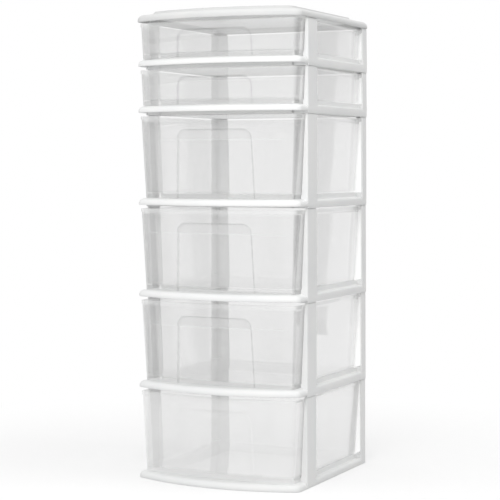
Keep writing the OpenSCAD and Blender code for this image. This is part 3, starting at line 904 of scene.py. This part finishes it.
def studio_floor():
    """Plain pale floor that keeps the shadow and runs out into the white background"""
    material, tree = new_tree("pale_floor")
    diffuse = add(tree, "ShaderNodeBsdfDiffuse", {"Color": srgb("#C8C8C8")})
    glow = add(tree, "ShaderNodeEmission", {"Color": (1, 1, 1, 1), "Strength": 0.41})
    lit = add(tree, "ShaderNodeAddShader", {0: diffuse.outputs["BSDF"], 1: glow.outputs["Emission"]})
    place = add(tree, "ShaderNodeTexCoord").outputs["Object"]
    away = add(tree, "ShaderNodeVectorMath", {0: place}, operation="LENGTH")
    fade = add(tree, "ShaderNodeMapRange", {"Value": away.outputs["Value"], "From Min": 0.36, "From Max": 1.0},
               interpolation_type="SMOOTHSTEP")
    white_out = add(tree, "ShaderNodeEmission", {"Color": (1, 1, 1, 1), "Strength": 1.0})
    shown = add(tree, "ShaderNodeMixShader", {0: fade.outputs["Result"], 1: lit.outputs["Shader"],
                                              2: white_out.outputs["Emission"]})
    mix = add(tree, "ShaderNodeMixShader", {0: seen_straight(tree), 1: diffuse.outputs["BSDF"],
                                            2: shown.outputs["Shader"]})
    add(tree, "ShaderNodeOutputMaterial", {"Surface": mix.outputs["Shader"]})
    return material


def studio_world():
    """White all round, a little dimmer as a light than as a background"""
    world = bpy.data.worlds.new("white_studio")
    bpy.context.scene.world = world
    world.use_nodes = True
    tree = world.node_tree
    tree.nodes.clear()
    level = add(tree, "ShaderNodeMapRange", {"Value": seen_straight(tree), "To Min": 0.70, "To Max": 1.0})
    sky = add(tree, "ShaderNodeBackground", {"Color": (1, 1, 1, 1), "Strength": level.outputs["Result"]})
    add(tree, "ShaderNodeOutputWorld", {"Surface": sky.outputs["Background"]})


def soft_box(name, place, aim, size, power):
    """A square lamp that faces a point"""
    put_down()
    bpy.ops.object.light_add(type="AREA", location=place)
    lamp = bpy.context.object
    lamp.name = name
    lamp.data.shape = "SQUARE"
    lamp.data.size = size
    lamp.data.energy = power
    # Polished clear walls would mirror it as a burnt-out patch
    lamp.visible_glossy = lamp.visible_camera = lamp.visible_transmission = False
    lamp.rotation_euler = (Vector(aim) - Vector(place)).to_track_quat("-Z", "Y").to_euler()


def flag(name, tone, corners):
    """Grey card met only by reflections: it darkens what glancing walls throw back"""
    card = draw(name, [(x / MM, y / MM, z / MM) for x, y, z in corners])
    put_down()
    card.visible_camera = card.visible_diffuse = card.visible_transmission = card.visible_shadow = False
    material, tree = new_tree(name)
    dull = add(tree, "ShaderNodeEmission", {"Color": srgb(tone), "Strength": 1.0})
    add(tree, "ShaderNodeOutputMaterial", {"Surface": dull.outputs["Emission"]})
    finish_with(card, material)


def upright(x1, y1, x2, y2):
    """Corners of an upright card between two places on the floor"""
    return [(x1, y1, 0.0), (x2, y2, 0.0), (x2, y2, FLAG_TOP), (x1, y1, FLAG_TOP)]


# ---------------------------------------------------------------- finishes of the tower

# Frames: a bright, even white with a soft sheen along the rounded edges
white = white_polypropylene("white_moulded_polypropylene", "#EBECEC", "#F1F1F0")
# Right back leg: painted glow, an emission that makes it the brightest upright, in place of light from behind
# through thin plastic
white_leg_glow = white_polypropylene("white_polypropylene_painted_glow", "#EBECEC", "#F1F1F0", 0.40)
# Undersides of the shelves: painted glow that makes them pale, in place of light through the thin deck above
white_under_glow = white_polypropylene("white_polypropylene_underside_painted_glow", "#EBECEC", "#F1F1F0", 0.19)
# Lid: painted shade, a greyer white than the frames, so that its edge and deck stand out against white. The
# flat of the deck is painted greyer still, and the underside has a painted glow.
lid_deck = white_polypropylene("lid_deck_painted_shade", "#C9CACA", "#CFCFCE")
lid_under_glow = white_polypropylene("lid_underside_painted_glow", "#DFE0E0", "#E5E5E4", 0.12)
lid_shaded_white = white_polypropylene("lid_polypropylene_painted_shade", "#D3D4D4", "#D9D9D8")
# Walls of the large drawers: nearly clear, with a breath of milk
clear = clear_polypropylene("clear_moulded_polypropylene", 0.095, 0.125)
# Walls of the small drawers: milkier
hazy = clear_polypropylene("hazy_moulded_polypropylene", 0.17, 0.21)
# Rim and band: painted highlight, a whiter milk that draws a whitish line
clear_edge_highlight = clear_polypropylene("clear_polypropylene_edge_highlight", 0.205, 0.235, "#FFFFFF")
# Slope round the grip arch: painted shade, a faint grey outline
clear_arch_shade = clear_polypropylene("clear_polypropylene_arch_painted_shade", 0.205, 0.235, "#D8D8D8", "#F6F6F6", 0.3)
# Head of the grip arch: painted shade, a soft grey patch under the grip's overhang
clear_grip_shade = clear_polypropylene("clear_polypropylene_grip_painted_shade", 0.28, 0.32, "#E0E0E0")
# Front corners: painted shade, grey upright bands where the wall is seen edge on
clear_corner_shade = clear_polypropylene("clear_polypropylene_corner_painted_shade", 0.12, 0.16, "#D8D8D8", "#F0F0F0")
clear_left_shade = clear_polypropylene("clear_polypropylene_left_corner_painted_shade", 0.12, 0.16, "#D0D0D0", "#EAEAEA")
# Right rear corner: painted light, less milk and mirror than the rest of the wall, so that the leg behind
# shows bright
clear_rear_lightened = clear_polypropylene("clear_polypropylene_rear_corner_painted_light", 0.06, 0.09, "#FFFFFF", "#FEFEFE", 0.15)
# Lowest drawer: painted light, an even, whiter milk all over that makes it lighter than the drawers above
low_clear_lightened = clear_polypropylene("milky_polypropylene_painted_light", 0.185, 0.215, "#FFFFFF", "#FCFCFC")


# ---------------------------------------------------------------- build

large_drawer = drawer_shell("large_drawer", LARGE_PITCH, LARGE_BAND_H, LARGE_ARCH_DROP, clear)
small_drawer = drawer_shell("small_drawer", SMALL_PITCH, SMALL_BAND_H, SMALL_ARCH_DROP, hazy)
for tier, seam in enumerate(SEAMS, 1):
    model = small_drawer if tier <= SMALL_TIERS else large_drawer
    piece = stand(model, f"drawer_{tier}_shell", seam)
    # The lowest drawer gets painted light: one paler finish all over
    if tier == LOW_TIER:
        finish_with(piece, low_clear_lightened)
    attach(piece, f"drawer_{tier}")
    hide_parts(f"drawer_{tier}")

small_frame = shelf_frame("small_frame", SMALL_PITCH, 0.0, True)
large_frame = shelf_frame("large_frame", LARGE_PITCH, 0.0, True)
low_frame = shelf_frame("low_frame", LARGE_PITCH, COLLAR_H, False)
for tier, seam in enumerate(SEAMS, 1):
    model = small_frame if tier <= SMALL_TIERS else large_frame if tier < LOW_TIER else low_frame
    piece = stand(model, f"frame_{tier}_shell", seam)
    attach(piece, "tower")
    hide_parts(f"frame_{tier}")

top_cover = lid()
piece = stand(top_cover, "lid_cover", LID_SEAM)
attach(piece, "tower")
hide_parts("lid")

for model in (large_drawer, small_drawer, small_frame, large_frame, low_frame, top_cover):
    bpy.data.objects.remove(model)

put_down()
bpy.ops.mesh.primitive_circle_add(vertices=96, radius=9, fill_type="NGON", location=(0, 0, 0))
floor = bpy.context.object
floor.name = floor.data.name = "floor"
finish_with(floor, studio_floor())
studio_world()

# Cards far behind and beside the tower, and one that lies on the floor behind it
flag("back_flag", "#BCBCBC", upright(0.62, 2.0, 0.90, 2.0))
flag("window_flag", "#D8D8D8", upright(0.985, 2.0, 1.08, 2.0))
flag("strip_flag", "#767676", upright(1.08, 2.0, 2.6, 2.0))
flag("side_flag", "#6E6E6E", upright(2.6, 2.0, 2.6, -1.7))
flag("left_flag", "#C4C4C4", upright(-2.6, -0.5, -2.6, 2.0))
flag("left_back_flag", "#C4C4C4", upright(-2.6, 2.0, -1.5, 2.0))
flag("floor_flag", "#CCCCCC",
     [(0.851, 1.69, 0.003), (1.7, 1.69, 0.003), (2.4, 1.99, 0.003), (0.985, 1.99, 0.003)])

soft_box("key_lamp", (0.3, -1.4, 0.98), (0, 0, 0.80), 0.7, 8.9)
soft_box("side_lamp", (1.0, 0.1, 2.2), (0.16, 0, 0.4), 0.8, 8)
soft_box("top_lamp", (-0.6, -0.4, 2.9), (0, 0, 0.4), 1.8, 10)

camera_data = bpy.data.cameras.new("camera")
camera = bpy.data.objects.new("camera", camera_data)
bpy.context.scene.collection.objects.link(camera)
camera_data.sensor_width = 36.0
camera_data.lens = CAMERA_LENS
camera.location = CAMERA_PLACE
camera.rotation_euler = (math.pi / 2 - CAMERA_TILT, 0.0, CAMERA_TURN)
bpy.context.scene.camera = camera

# Light passes up to a dozen clear walls, two faces each
scene = bpy.context.scene
scene.view_settings.view_transform = "Standard"
scene.cycles.max_bounces = 24
scene.cycles.transmission_bounces = 20
scene.cycles.transparent_max_bounces = 24
